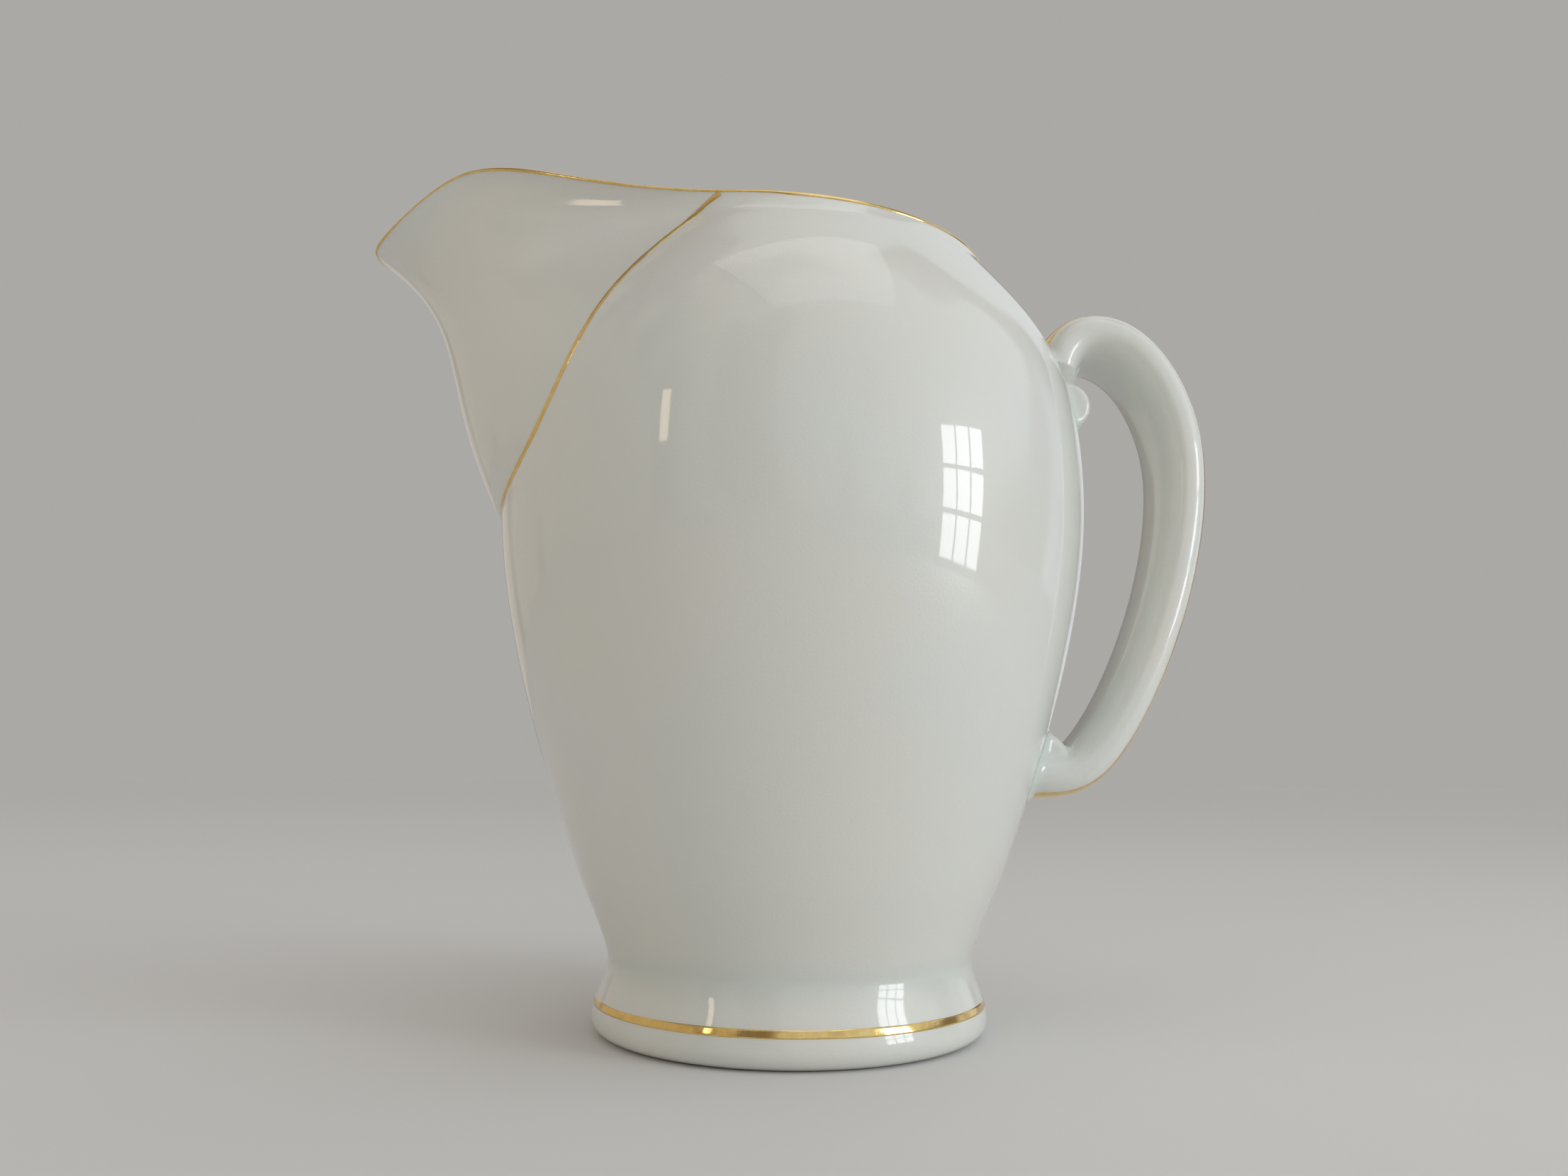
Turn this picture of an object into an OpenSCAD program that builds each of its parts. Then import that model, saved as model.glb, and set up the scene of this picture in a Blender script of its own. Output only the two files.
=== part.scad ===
// Porcelain cream jug with gilt lines.
// A round-bellied vessel on a rolled foot, with a broad bib-shaped pouring spout on the -X side
// and a strap handle with a scroll under its upper root on the +X side.
// +Z is up, the origin is the centre of the foot on the surface that the jug stands on.

/* [Body] */
// Outer radius at the widest part of the belly
belly_r = 42.5; // [40:0.5:45]
// Height of the widest part of the belly
belly_h = 74.3; // [70:0.1:78]
// Outer radius of the waist above the foot
waist_r = 25.4; // [24:0.1:26.5]
// Height of the waist, where the foot begins
waist_h = 9.8; // [9:0.1:11]
// Outer radius of the round mouth
mouth_r = 28.9; // [28:0.1:30]
// Height of the rim at the back, above the handle
rim_h = 109.8; // [109:0.1:111]
// Thickness of the porcelain wall
wall = 2.8; // [2:0.1:3.5]
// Height of the floor inside
floor_h = 7; // [6:0.1:8]

/* [Foot] */
// Largest outer radius of the foot roll
foot_r = 27.4; // [27:0.1:28.5]
// Radius where the outside of the foot meets the table
tread_r = 24.3; // [23.5:0.1:25]
// Inner radius of the ring that the jug stands on
tread_in_r = 20.6; // [20.4:0.1:21.5]
// Depth of the hollow under the foot
recess_h = 3.2; // [2.5:0.1:4]

/* [Spout] */
// Distance from the axis to the tip of the spout
spout_reach = 65.1; // [62:0.1:68]
// Height of the tip
tip_h = 114.6; // [113:0.1:116]
// Height of the high wings on either side of the tip
wing_h = 120.6; // [118:0.1:123]
// Height of the lowest point of the spout on the front of the belly
bib_h = 71; // [69:0.5:73]
// Outward turn of the spout wall at its crease with the body, in degrees
crease_turn = 11; // [6:1:16]
// Fullness of the rounded keel, as a part of the spout's half width
keel_fullness = 0.5; // [0.4:0.05:0.6]
// Thickness of the wall at the lip
lip = 2.3; // [2:0.1:2.8]

/* [Handle] */
// Width of the strap across the jug
strap_w = 17; // [14:0.5:19]
// Thickness of the strap
strap_t = 6.6; // [5.5:0.1:7.5]
// Distance from the axis to the middle of the strap at its widest
strap_reach = 57.4; // [56:0.1:60]
// Radius of the scroll under the upper root
scroll_r = 3.5; // [3:0.1:4]
// Length of the scroll across the jug
scroll_w = 13; // [11:0.5:15]
// Thickness of the clay slip between the handle and the body
slip_t = 0.6; // [0.5:0.1:0.8]

/* [Gilding] */
// Thickness of the gilt lines, stated thicker than real gilding
gilt_t = 0.15; // [0.1:0.05:0.2]
// Height of the gilt cap on the rim
rim_gilt_h = 0.6; // [0.4:0.1:0.8]
// Width of the gilt line along the crease of the spout
crease_gilt_w = 0.9; // [0.6:0.1:1.2]
// Width of the gilt line round the foot
foot_gilt_w = 1.1; // [0.8:0.1:1.5]
// Height of the middle of the gilt line round the foot
foot_gilt_h = 4.5; // [4:0.1:5]
// Width of the gilt stripe along the back of the handle
strap_gilt_w = 13; // [9:0.5:13.5]

/* [Hidden] */

PORCELAIN = "#e9ede8";
SLIP = "#dfe3dc";
GILT = "#c79a3a";

columns = 48;       // divisions round the body, between the two creases
crease_rows = 18;   // rows of the crease between its lowest point and the rim
spout_half = 12;    // divisions of the spout between a crease and its keel
morph_h = 99;       // height above which the body's rows lean towards the wavy rim
wing_morph_h = 93;  // height above which the spout's rows rise into the wings

// ---- curves -------------------------------------------------------------------------------

function bezier(p, t) =
    pow(1 - t, 3) * p[0] + 3 * pow(1 - t, 2) * t * p[1] + 3 * (1 - t) * t * t * p[2]
    + pow(t, 3) * p[3];
function arc_of(p, n) = [for (i = [0 : n - 1]) bezier(p, i / n)];
function unit(v) = v / norm(v);
function flip(table) = [for (p = table) [p[1], p[0]]];
function reversed(list) = [for (i = [len(list) - 1 : -1 : 0]) list[i]];

// Outward normals of a profile that runs upwards, as [radius, height]
function normal_at(list, i) =
    let (a = list[max(i - 1, 0)], b = list[min(i + 1, len(list) - 1)], d = unit(b - a))
    [d[1], -d[0]];

// ---- body profile, [radius, height] -------------------------------------------------------

waist = [waist_r, waist_h];
flank = [30.1, 22];
belly = [belly_r, belly_h];
shoulder = [31.6, 105.5];
mouth = [mouth_r, rim_h + 3.4];
profile = concat(
    arc_of([waist, waist + [0, 2.2], flank - [1.5, 4], flank], 4),
    arc_of([flank, flank + [6.3, 17], belly - [0, 16.3], belly], 9),
    arc_of([belly, belly + [0, 17], shoulder + [6.8, -8.5], shoulder], 10),
    arc_of([shoulder, shoulder + [-1.6, 2], mouth - [0.6, 3.9], mouth], 5),
    [mouth]);
inner_profile = [for (i = [0 : len(profile) - 1]) profile[i] - wall * normal_at(profile, i)];
outer_table = flip(profile);
inner_table = flip(inner_profile);
function outer_r(z) = lookup(z, outer_table);
function inner_r(z) = lookup(z, inner_table);

// A point at angle a from the front of the jug, turning towards -Y
function polar(r, a, z) = [-r * cos(a), -r * sin(a), z];

// ---- rim seen from the side, [distance along X, height] -----------------------------------

wing_x = -46.5;
rim_side = concat(
    arc_of([[mouth_r, rim_h], [-22, rim_h - 1.4], [-34, wing_h], [wing_x, wing_h]], 24),
    arc_of([[wing_x, wing_h], [-53, wing_h], [-60, tip_h - 0.6], [-spout_reach, tip_h]], 12),
    [[-spout_reach, tip_h]]);
rim_table = reversed(rim_side);
// Top of the porcelain under the gilt cap
function lip_z(x) = lookup(x, rim_table) - rim_gilt_h;

// ---- crease between spout and body, [angle from the front, height] ------------------------

crease_top_a = 71.5;
crease_top_z = lip_z(-mouth_r * cos(crease_top_a));
crease_mid = [53, 97];
crease_bend = [10, 14.5];
crease_low = [[0, bib_h], [42, bib_h], crease_mid - crease_bend, crease_mid];
crease_high = [crease_mid, crease_mid + 0.35 * crease_bend,
               [63, crease_top_z - 0.5], [crease_top_a, crease_top_z]];
function crease(i) =
    i <= crease_rows / 2 ? bezier(crease_low, 2 * i / crease_rows)
                         : bezier(crease_high, 2 * i / crease_rows - 1);
creases = [for (i = [0 : crease_rows]) crease(i)];

// ---- spout --------------------------------------------------------------------------------

tip_z = tip_h - rim_gilt_h;
keel_line = [for (i = [0 : 30]) bezier(
    [[-outer_r(bib_h), bib_h], [-53.8, 90.3], [-48.3, 102.2], [-spout_reach, tip_z]], i / 30)];
keel_table = flip(keel_line);
function keel_x(z) = lookup(z, keel_table);
function keel_slope(z) = keel_x(min(z + 0.5, tip_z)) - keel_x(min(z + 0.5, tip_z) - 1);

function row_u(i) = (creases[i][1] - bib_h) / (crease_top_z - bib_h);
function keel_z(i) = bib_h + row_u(i) * (tip_z - bib_h);
function keel_wall(i) =
    (wall + (lip - wall) * pow(row_u(i), 2)) * sqrt(1 + pow(keel_slope(keel_z(i)), 2));

// Control points of half a section, from the crease on the -Y side to the keel, in plan
function half_section(i, inside) =
    let (
        a = creases[i][0],
        z = creases[i][1],
        from = polar(inside ? inner_r(z) : outer_r(z), a, 0),
        to = [keel_x(keel_z(i)) + (inside ? keel_wall(i) : 0), 0, 0],
        turn = crease_turn * (1 - row_u(i)) + 3,
        way = [-sin(a + turn), cos(a + turn), 0],
        reach = 0.4 * norm(to - from))
    [from, from + reach * way, to + [0, keel_fullness * from[1], 0], to];

// Height of a section, level low down and rising into the wings at the top
function wing_share(i) = pow(max(0, (creases[i][1] - wing_morph_h) / (crease_top_z - wing_morph_h)), 2);
function section_z(i, t) =
    let (level = creases[i][1] * (1 - t) + keel_z(i) * t,
         top_level = crease_top_z * (1 - t) + tip_z * t,
         top = lip_z(bezier(half_section(crease_rows, false), t)[0]))
    level + wing_share(i) * (top - top_level);

// Point of the spout at s, which runs from -1 at one crease through the keel to 1 at the other
function spout_point(i, s, inside) =
    let (t = 1 - abs(s), p = bezier(half_section(i, inside), t))
    [p[0], s > 0 ? -p[1] : p[1], section_z(i, t)];

spout_columns = 2 * spout_half;
function spout_row(i, inside) =
    [for (j = [0 : spout_columns]) spout_point(i, j / spout_half - 1, inside)];

// ---- grids to solids ----------------------------------------------------------------------

// Faces between rows of a grid whose points are numbered row by row
function sheet(first, rows, width, flipped) = [
    for (i = [0 : rows - 2]) for (j = [0 : width - 2])
        let (a = first + i * width + j, b = a + 1, c = b + width, d = a + width)
        each flipped ? [[a, b, c], [a, c, d]] : [[a, c, b], [a, d, c]]];
// Faces that join two rows of points, numbered by their lists
function band(low, high) = [
    for (j = [0 : len(low) - 2]) each [[low[j], high[j + 1], low[j + 1]], [low[j], high[j], high[j + 1]]]];
function fan(tip, row, flipped) = [
    for (j = [0 : len(row) - 2]) flipped ? [tip, row[j + 1], row[j]] : [tip, row[j], row[j + 1]]];
function count_from(first, n) = [for (i = [0 : n - 1]) first + i];

// A closed ring of sections, or an open row of sections with flat ends
module swept(sections, closed = false) {
    n = len(sections[0]);
    rows = len(sections);
    last = closed ? rows - 1 : rows - 2;
    sides = [for (i = [0 : last]) for (j = [0 : n - 1])
        let (a = i * n + j, b = i * n + (j + 1) % n, up = ((i + 1) % rows) * n)
        each [[a, up + (j + 1) % n, b], [a, up + j, up + (j + 1) % n]]];
    ends = closed ? [] : [count_from(0, n), reversed(count_from((rows - 1) * n, n))];
    polyhedron([for (s = sections) each s], concat(sides, ends), convexity = 6);
}

// ---- body ---------------------------------------------------------------------------------

seat_r = 21.5;   // radius of the step by which the body sits in the foot

// Angle of a point at column share s, from the crease at angle a round the back to the other
// crease: the columns of the back half stand upright, and only those of the front half lean
function column_a(s, a) =
    s < 1 / 4 ? a + 4 * s * (90 - a) : s > 3 / 4 ? 360 - column_a(1 - s, a) : 360 * s;
// Height of a point of the upper body at column share s, leaning towards the wavy rim
function body_top(s) = lip_z(-mouth_r * cos(column_a(s, crease_top_a)));
function body_z(z, s) =
    z < morph_h ? z
                : morph_h + (z - morph_h) * (body_top(s) - morph_h) / (crease_top_z - morph_h);
function upper_row(i, inside) = [
    for (j = [0 : columns])
        let (s = j / columns, a = creases[i][0], z = body_z(creases[i][1], s))
        polar(inside ? inner_r(z) : outer_r(z), column_a(s, a), z)];
function ring_row(p) = [for (j = [0 : columns - 1]) polar(p[0], 360 * j / columns, p[1])];

outside_rings = concat([[seat_r, recess_h], [seat_r, waist_h]],
                       [for (p = profile) if (p[1] < bib_h - 2) p]);
inside_rings = concat([[14, floor_h], [19, floor_h + 0.4], [inner_profile[0][0] - 1, waist_h - 0.8]],
                      [for (p = inner_profile) if (p[1] > waist_h && p[1] < bib_h - 2) p]);

module body() {
    width = columns + 1;
    // Rings below the bib, the rows beside it, and the two points on the axis
    rings_out = [for (p = outside_rings) each ring_row(p)];
    rings_in = [for (p = inside_rings) each ring_row(p)];
    rows_out = [for (i = [0 : crease_rows]) each upper_row(i, false)];
    rows_in = [for (i = [0 : crease_rows]) each upper_row(i, true)];
    in0 = len(rings_out);
    up_out = in0 + len(rings_in);
    up_in = up_out + len(rows_out);
    axis_out = up_in + len(rows_in);
    axis_in = axis_out + 1;
    points = concat(rings_out, rings_in, rows_out, rows_in,
                    [[0, 0, recess_h], [0, 0, floor_h]]);
    function ring(first, k) = [for (j = [0 : columns]) first + k * columns + j % columns];
    function row(first, k) = count_from(first + k * width, width);
    // The lowest row beside the bib closes on itself, so its last point is its first
    function shut(list) = [for (j = [0 : columns]) list[j % columns]];
    function closed_row(first, k) = k == 0 ? shut(row(first, 0)) : row(first, k);
    outer = concat(
        fan(axis_out, ring(0, 0), false),
        [for (k = [0 : len(outside_rings) - 2]) each band(ring(0, k), ring(0, k + 1))],
        band(ring(0, len(outside_rings) - 1), closed_row(up_out, 0)),
        [for (k = [0 : crease_rows - 1]) each band(closed_row(up_out, k), row(up_out, k + 1))]);
    inner = concat(
        fan(axis_in, ring(in0, 0), true),
        [for (k = [0 : len(inside_rings) - 2]) each band(ring(in0, k + 1), ring(in0, k))],
        band(closed_row(up_in, 0), ring(in0, len(inside_rings) - 1)),
        [for (k = [0 : crease_rows - 1]) each band(row(up_in, k + 1), closed_row(up_in, k))]);
    lip_faces = band(row(up_out, crease_rows), row(up_in, crease_rows));
    first_out = [for (k = [0 : crease_rows]) closed_row(up_out, k)[0]];
    first_in = [for (k = [0 : crease_rows]) closed_row(up_in, k)[0]];
    last_out = [for (k = [0 : crease_rows]) closed_row(up_out, k)[columns]];
    last_in = [for (k = [0 : crease_rows]) closed_row(up_in, k)[columns]];
    color(PORCELAIN)
        polyhedron(points, concat(outer, inner, lip_faces,
                                  band(first_out, first_in), band(last_in, last_out)),
                   convexity = 8);
}

// ---- spout --------------------------------------------------------------------------------

module spout() {
    width = spout_columns + 1;
    rows_out = [for (i = [1 : crease_rows]) each spout_row(i, false)];
    rows_in = [for (i = [1 : crease_rows]) each spout_row(i, true)];
    in0 = len(rows_out);
    low_out = in0 + len(rows_in);
    low_in = low_out + 1;
    points = concat(rows_out, rows_in,
                    [polar(outer_r(bib_h), 0, bib_h), polar(inner_r(bib_h), 0, bib_h)]);
    function row(first, k) = count_from(first + k * width, width);
    last = crease_rows - 1;
    outer = concat(fan(low_out, reversed(row(0, 0)), false),
                   [for (k = [0 : last - 1]) each band(row(0, k + 1), row(0, k))]);
    inner = concat(fan(low_in, row(in0, 0), false),
                   [for (k = [0 : last - 1]) each band(row(in0, k), row(in0, k + 1))]);
    near_out = concat([low_out], [for (k = [0 : last]) row(0, k)[0]]);
    near_in = concat([low_in], [for (k = [0 : last]) row(in0, k)[0]]);
    far_out = concat([low_out], [for (k = [0 : last]) row(0, k)[spout_columns]]);
    far_in = concat([low_in], [for (k = [0 : last]) row(in0, k)[spout_columns]]);
    color(PORCELAIN)
        polyhedron(points, concat(outer, inner, band(row(in0, last), row(0, last)),
                                  band(near_in, near_out), band(far_out, far_in)),
                   convexity = 8);
}

// ---- foot ---------------------------------------------------------------------------------

foot_edge = [foot_r, 2.4];
foot_side = concat(
    arc_of([[tread_r, 0], [tread_r + 1.9, 0], foot_edge - [0, 1.4], foot_edge], 6),
    arc_of([foot_edge, foot_edge + [0, 2.2], waist + [0.2, -2.6], waist], 9),
    [waist]);
function foot_side_r(z) = lookup(z, flip(foot_side));

module foot() {
    color(PORCELAIN)
        rotate_extrude($fn = 96)
            polygon(concat(foot_side, [[seat_r, waist_h], [seat_r, recess_h],
                                       [tread_in_r - 1.2, recess_h], [tread_in_r, 0]]));
}

// ---- handle -------------------------------------------------------------------------------

scroll_at = [40.3, 0, 89];
toe_at = [36.3, 0, 38.2];
toe_r = 2.4;
crown = [45, 100.2];
strap_back = [strap_reach, 79.5];
strap_low = [43.5, 38.8];
strap_path = concat(
    arc_of([[39.2, 87.5], [38.2, 95.6], crown - [4.8, 0], crown], 9),
    arc_of([crown, crown + [6.8, 0], strap_back + [0, 10.5], strap_back], 10),
    arc_of([strap_back, strap_back - [0, 14.5], strap_low + [6.5, 7.7], strap_low], 11),
    arc_of([strap_low, strap_low - [3, 3.6], [37.5, 34.9], [33, 35.3]], 6),
    [[33, 35.3]]);
path_last = len(strap_path) - 1;

// Width of the strap at station i: its end behind the scroll is a narrower tongue
tongue_w = 8;
tongue_end = 4;
function width_at(i) = i < tongue_end ? tongue_w : strap_w;
// Outline of the strap at angle a, 0 in the middle of its inner face and 180 in the middle of its
// back; squarer than an ellipse
function rounded(v, power) = sign(v) * pow(abs(v), power);
strap_power = 0.8;
function strap_outline(a, w) = [strap_t / 2 * rounded(cos(a), strap_power),
                                w / 2 * rounded(sin(a), strap_power)];
// Place a point [inwards, across] of the section at station i of the path
function on_strap(i, p) =
    let (n = -normal_at(strap_path, i))
    [strap_path[i][0] - n[0] * p[0], p[1], strap_path[i][1] - n[1] * p[0]];
strap_sides = 20;
function strap_section(i, grow) = [
    for (k = [0 : strap_sides - 1])
        let (p = strap_outline(360 * k / strap_sides, width_at(i)))
        on_strap(i, p + grow * unit([p[0] / strap_t, p[1] / width_at(i)]))];

module strap(from, to, grow = 0) {
    swept([for (i = [from : to]) strap_section(i, grow)]);
}

// The solid body of the jug grown by a thickness, to cut or form what lies against it
module grown_body(by, low, high) {
    rotate_extrude($fn = 96)
        polygon(concat([[0, low]],
                       [for (i = [0 : len(profile) - 1])
                           let (p = profile[i] + by * normal_at(profile, i))
                           if (p[1] > low && p[1] < high) p],
                       [[0, high]]));
}

// A short roll across the jug, with bevelled ends
module roll(r, w) {
    edge = 1.2;
    rotate([90, 0, 0]) rotate_extrude($fn = 48)
        polygon([[0, -w / 2], [r - edge, -w / 2], [r, edge - w / 2],
                 [r, w / 2 - edge], [r - edge, w / 2], [0, w / 2]]);
}
module scroll(grow = 0) { translate(scroll_at) roll(scroll_r + grow, scroll_w); }
module toe(grow = 0) { translate(toe_at) roll(toe_r + grow, scroll_w); }

module handle() {
    color(PORCELAIN) difference() {
        union() {
            strap(0, path_last);
            scroll();
            toe();
        }
        grown_body(slip_t, 20, 108);
    }
}

// ---- slip that joins the handle to the body -----------------------------------------------

upper_end = 9;
lower_end = path_last - 8;

module slip_layer(low, high) {
    difference() {
        intersection() {
            children();
            grown_body(slip_t, low, high);
        }
        grown_body(0, low - 5, high + 4);
    }
}

module upper_luting_slip() {
    color(SLIP) slip_layer(80, 106) {
        union() {
            strap(0, upper_end, slip_t);
            scroll(slip_t);
        }
    }
}

module lower_luting_slip() {
    color(SLIP) slip_layer(26, 50) {
        union() {
            strap(lower_end, path_last, slip_t);
            toe(slip_t);
        }
    }
}

// ---- gilding ------------------------------------------------------------------------------

gilt_gap = 0.02;   // space between the strap and its gilt stripe

// Outer and inner edge of the whole lip, round the body and then round the spout
lip_pairs = concat(
    [for (j = [0 : columns - 1]) [upper_row(crease_rows, false)[j], upper_row(crease_rows, true)[j]]],
    [for (j = [spout_columns : -1 : 1])
        [spout_row(crease_rows, false)[j], spout_row(crease_rows, true)[j]]]);
cap_steps = 5;
function lip_cap(pair) = [
    for (k = [cap_steps : -1 : 0]) let (a = 180 * k / cap_steps)
        (pair[0] + pair[1]) / 2 + (pair[0] - pair[1]) / 2 * cos(a) + [0, 0, rim_gilt_h * sin(a)]];

module rim_gilding() {
    color(GILT) swept([for (pair = lip_pairs) lip_cap(pair)], closed = true);
}

// Section of the gilt line on the crease, for the -Y side: towards the body, then the spout
function crease_gilt(i) =
    let (
        a = creases[i][0],
        z = creases[i][1],
        here = polar(outer_r(z), a, z),
        out = unit([-cos(a), -sin(a), (outer_r(z - 1) - outer_r(z + 1)) / 2]),
        before = creases[max(i - 1, 0)],
        after = creases[min(i + 1, crease_rows)],
        run = unit(i == 0 ? [0, -1, 0] : polar(outer_r(after[1]), after[0], after[1])
                   - polar(outer_r(before[1]), before[0], before[1])),
        side = unit(cross(run, out)) * crease_gilt_w / 2,
        base = 0.06 * out,
        top = gilt_t * out)
    [here - side + base, here + side + base, here + side + base + top, here - side + base + top];
function mirrored(section) = [for (p = section) [p[0], -p[1], p[2]]];

module crease_gilding() {
    near = [for (i = [crease_rows : -1 : 0]) crease_gilt(i)];
    far = [for (i = [1 : crease_rows]) mirrored(crease_gilt(i))];
    color(GILT) swept(concat(near, far));
}

module foot_gilding() {
    heights = [for (k = [0 : 3]) foot_gilt_h + foot_gilt_w * (k / 3 - 0.5)];
    color(GILT) rotate_extrude($fn = 96)
        polygon(concat([for (z = heights) [foot_side_r(z) + 0.01, z]],
                       [for (z = reversed(heights)) [foot_side_r(z) + 0.01 + gilt_t, z]]));
}

module handle_gilding() {
    half_a = asin(pow(strap_gilt_w / strap_w, 1 / strap_power));
    steps = 6;
    function edge_row(i, grow) = [
        for (k = [0 : steps])
            let (p = strap_outline(180 + half_a * (2 * k / steps - 1), strap_w))
            on_strap(i, p + grow * unit([p[0] / strap_t, p[1] / strap_w]))];
    color(GILT) difference() {
        swept([for (i = [tongue_end : path_last - 3])
                  concat(edge_row(i, gilt_gap + gilt_t), reversed(edge_row(i, gilt_gap)))]);
        grown_body(slip_t, 20, 108);
    }
}

body();
spout();
foot();
handle();
upper_luting_slip();
lower_luting_slip();
rim_gilding();
crease_gilding();
foot_gilding();
handle_gilding();
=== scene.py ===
"""Looks of the porcelain cream jug: glazed vessel, blended handle, gilt lines, studio and camera.

Lengths are worked out in millimetres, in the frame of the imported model, and become metres when a
mesh is made.
"""

from math import cos, pi, radians, sin

import bpy
import numpy as np
from mathutils import Matrix, Vector
from mathutils.bvhtree import BVHTree

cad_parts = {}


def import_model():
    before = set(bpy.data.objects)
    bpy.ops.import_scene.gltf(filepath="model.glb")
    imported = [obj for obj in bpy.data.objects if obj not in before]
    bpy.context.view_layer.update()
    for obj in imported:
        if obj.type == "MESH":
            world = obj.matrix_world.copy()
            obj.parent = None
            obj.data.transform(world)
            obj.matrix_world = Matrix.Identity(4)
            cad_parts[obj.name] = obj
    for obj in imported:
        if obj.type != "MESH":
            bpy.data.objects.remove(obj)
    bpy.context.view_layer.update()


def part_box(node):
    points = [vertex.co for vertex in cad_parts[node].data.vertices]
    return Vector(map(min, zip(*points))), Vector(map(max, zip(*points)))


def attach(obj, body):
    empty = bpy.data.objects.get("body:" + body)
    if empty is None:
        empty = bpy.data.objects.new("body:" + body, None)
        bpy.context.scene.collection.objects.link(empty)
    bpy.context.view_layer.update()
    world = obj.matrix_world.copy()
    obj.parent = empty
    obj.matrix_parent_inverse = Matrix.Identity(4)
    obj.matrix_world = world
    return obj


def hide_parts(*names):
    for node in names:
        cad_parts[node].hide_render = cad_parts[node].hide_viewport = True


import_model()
MM = 0.001


def node_box(name):
    """Lowest and highest corner of a CAD node, in millimetres."""
    low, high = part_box(name)
    return np.array(low) / MM, np.array(high) / MM


# ---- sizes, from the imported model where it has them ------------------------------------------

BODY_LOW, BODY_HIGH = node_box("body")
FOOT_HIGH = node_box("foot")[1]
SPOUT_LOW = node_box("spout")[0]
RIM_LOW, RIM_HIGH = node_box("rim_gilding")
HANDLE_HIGH = node_box("handle")[1]

LEAF = 0.06    # how far a gilt line stands proud of the glaze
TUCK = -0.05   # how deep its edges are tucked in
BELLY_R = BODY_HIGH[0]
BELLY_H = 74.3
WAIST_H = FOOT_HIGH[2]
WAIST_R = 25.4
FOOT_R = FOOT_HIGH[0]
RECESS_H = BODY_LOW[2]
MOUTH_R = 28.9
RIM_H = 109.8
WALL = 2.8
LIP = 2.3
FLOOR_H = 7.0
WING_H = RIM_HIGH[2]
TIP_H = 114.6
BIB_H = SPOUT_LOW[2]
SPOUT_REACH = -RIM_LOW[0] - LEAF
CAP_H = 0.6
CREASE_TURN = 11.0
KEEL_FULLNESS = 0.5
MORPH_H = 99       # above this, the body's rows lean towards the wavy rim
WING_MORPH_H = 93  # above this, the spout's rows rise into the wings
STRAP_W = HANDLE_HIGH[1] * 2
STRAP_T = 6.6


# ---- curves ----------------------------------------------------------------------------------

def bezier(points, t):
    """Points of a cubic Bezier curve at the parameters t."""
    p = np.asarray(points, float)
    t = np.asarray(t, float)[..., None]
    u = 1 - t
    return u ** 3 * p[0] + 3 * u ** 2 * t * p[1] + 3 * u * t * t * p[2] + t ** 3 * p[3]


def chain(parts, steps):
    """Bezier curves laid end to end, with the last point of the last one."""
    rows = [bezier(part, np.arange(n) / n) for part, n in zip(parts, steps)]
    return np.vstack(rows + [np.asarray(parts[-1][3], float)[None]])


def outward(profile):
    """Outward normals of a profile that runs upwards."""
    d = np.gradient(profile, axis=0)
    d /= np.linalg.norm(d, axis=1)[:, None]
    return np.stack([d[:, 1], -d[:, 0]], axis=1)


def v2(x, z):
    return np.array([x, z], float)


waist = v2(WAIST_R, WAIST_H)
flank = v2(30.1, 22)
belly = v2(BELLY_R, BELLY_H)
shoulder = v2(31.6, 105.5)
mouth = v2(MOUTH_R, RIM_H + 3.4)
PROFILE = chain(
    [[waist, waist + v2(0, 2.2), flank - v2(1.5, 4), flank],
     [flank, flank + v2(6.3, 17), belly - v2(0, 16.3), belly],
     [belly, belly + v2(0, 17), shoulder + v2(6.8, -8.5), shoulder],
     [shoulder, shoulder + v2(-1.6, 2), mouth - v2(0.6, 3.9), mouth]],
    [24, 60, 60, 30])
INNER = PROFILE - WALL * outward(PROFILE)


def outer_r(z):
    return np.interp(z, PROFILE[:, 1], PROFILE[:, 0])


def inner_r(z):
    return np.interp(z, INNER[:, 1], INNER[:, 0])


WING_X = -46.5
RIM_SIDE = chain(
    [[v2(MOUTH_R, RIM_H), v2(-22, RIM_H - 1.4), v2(-34, WING_H), v2(WING_X, WING_H)],
     [v2(WING_X, WING_H), v2(-53, WING_H), v2(-60, TIP_H - 0.6), v2(-SPOUT_REACH, TIP_H)]],
    [120, 60])[::-1]


def lip_z(x):
    """Top of the porcelain, under the gilt cap, at a distance along X."""
    return np.interp(x, RIM_SIDE[:, 0], RIM_SIDE[:, 1]) - CAP_H


# ---- crease between spout and body, as angles from the front and heights ----------------------

CREASE_TOP_A = 71.5
CREASE_TOP_Z = float(lip_z(-MOUTH_R * cos(radians(CREASE_TOP_A))))
CREASE_MID = v2(53, 97)
CREASE_BEND = v2(10, 14.5)
CREASE_ROWS = 96
CREASE = chain(
    [[v2(0, BIB_H), v2(42, BIB_H), CREASE_MID - CREASE_BEND, CREASE_MID],
     [CREASE_MID, CREASE_MID + 0.35 * CREASE_BEND,
      v2(63, CREASE_TOP_Z - 0.5), v2(CREASE_TOP_A, CREASE_TOP_Z)]],
    [CREASE_ROWS // 2, CREASE_ROWS // 2])

TIP_Z = TIP_H - CAP_H
KEEL = chain(
    [[v2(-outer_r(BIB_H), BIB_H), v2(-53.8, 90.3), v2(-48.3, 102.2), v2(-SPOUT_REACH, TIP_Z)]],
    [120])


def polar(r, a, z):
    """A point at angle a, in degrees, from the front of the jug, turning towards -Y."""
    a = np.radians(a)
    return np.stack(np.broadcast_arrays(-r * np.cos(a), -r * np.sin(a), z), axis=-1)


def keel_x(z):
    return np.interp(z, KEEL[:, 1], KEEL[:, 0])


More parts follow.
